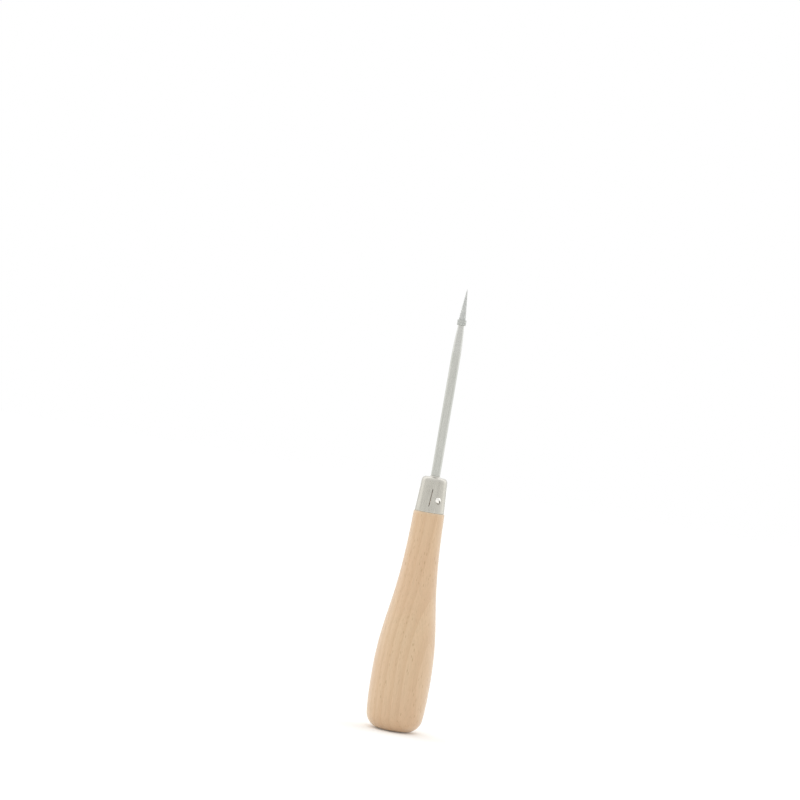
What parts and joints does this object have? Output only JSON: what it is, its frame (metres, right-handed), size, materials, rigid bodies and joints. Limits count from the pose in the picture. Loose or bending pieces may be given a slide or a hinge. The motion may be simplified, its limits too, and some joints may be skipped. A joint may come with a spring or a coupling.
{
  "type": "awl",
  "caption": "Tapered awl with a pear-shaped turned wooden handle, a pinned metal ferrule, a round steel blade with a tapered point and a slip-on point guard.",
  "frame": {"origin": "centre of the flat butt face that the handle stands on", "axes": "+Z along the tool's axis, from the butt to the point; -Y is the side with the slit and the ferrule pin"},
  "size_m": [0.0214, 0.0214, 0.16],
  "materials": {
    "handle": "satin lacquer over turned beech",
    "ferrule": "dull nickel plate on pressed steel",
    "ferrule_pin": "bright nickel plate",
    "blade": "drawn and ground steel",
    "tip_guard": "translucent moulded polyethylene"
  },
  "bodies": {
    "tool": {"handle": "handle", "ferrule": "ferrule", "ferrule_pin": "ferrule_pin", "blade": "blade"},
    "guard": {"tip_guard": "tip_guard"}
  },
  "joints": [
    {"name": "tip_guard_slide", "type": "slide", "parent": "tool", "child": "guard", "axis": [0, 0, 1], "range_m": [0, 0.025]}
  ]
}
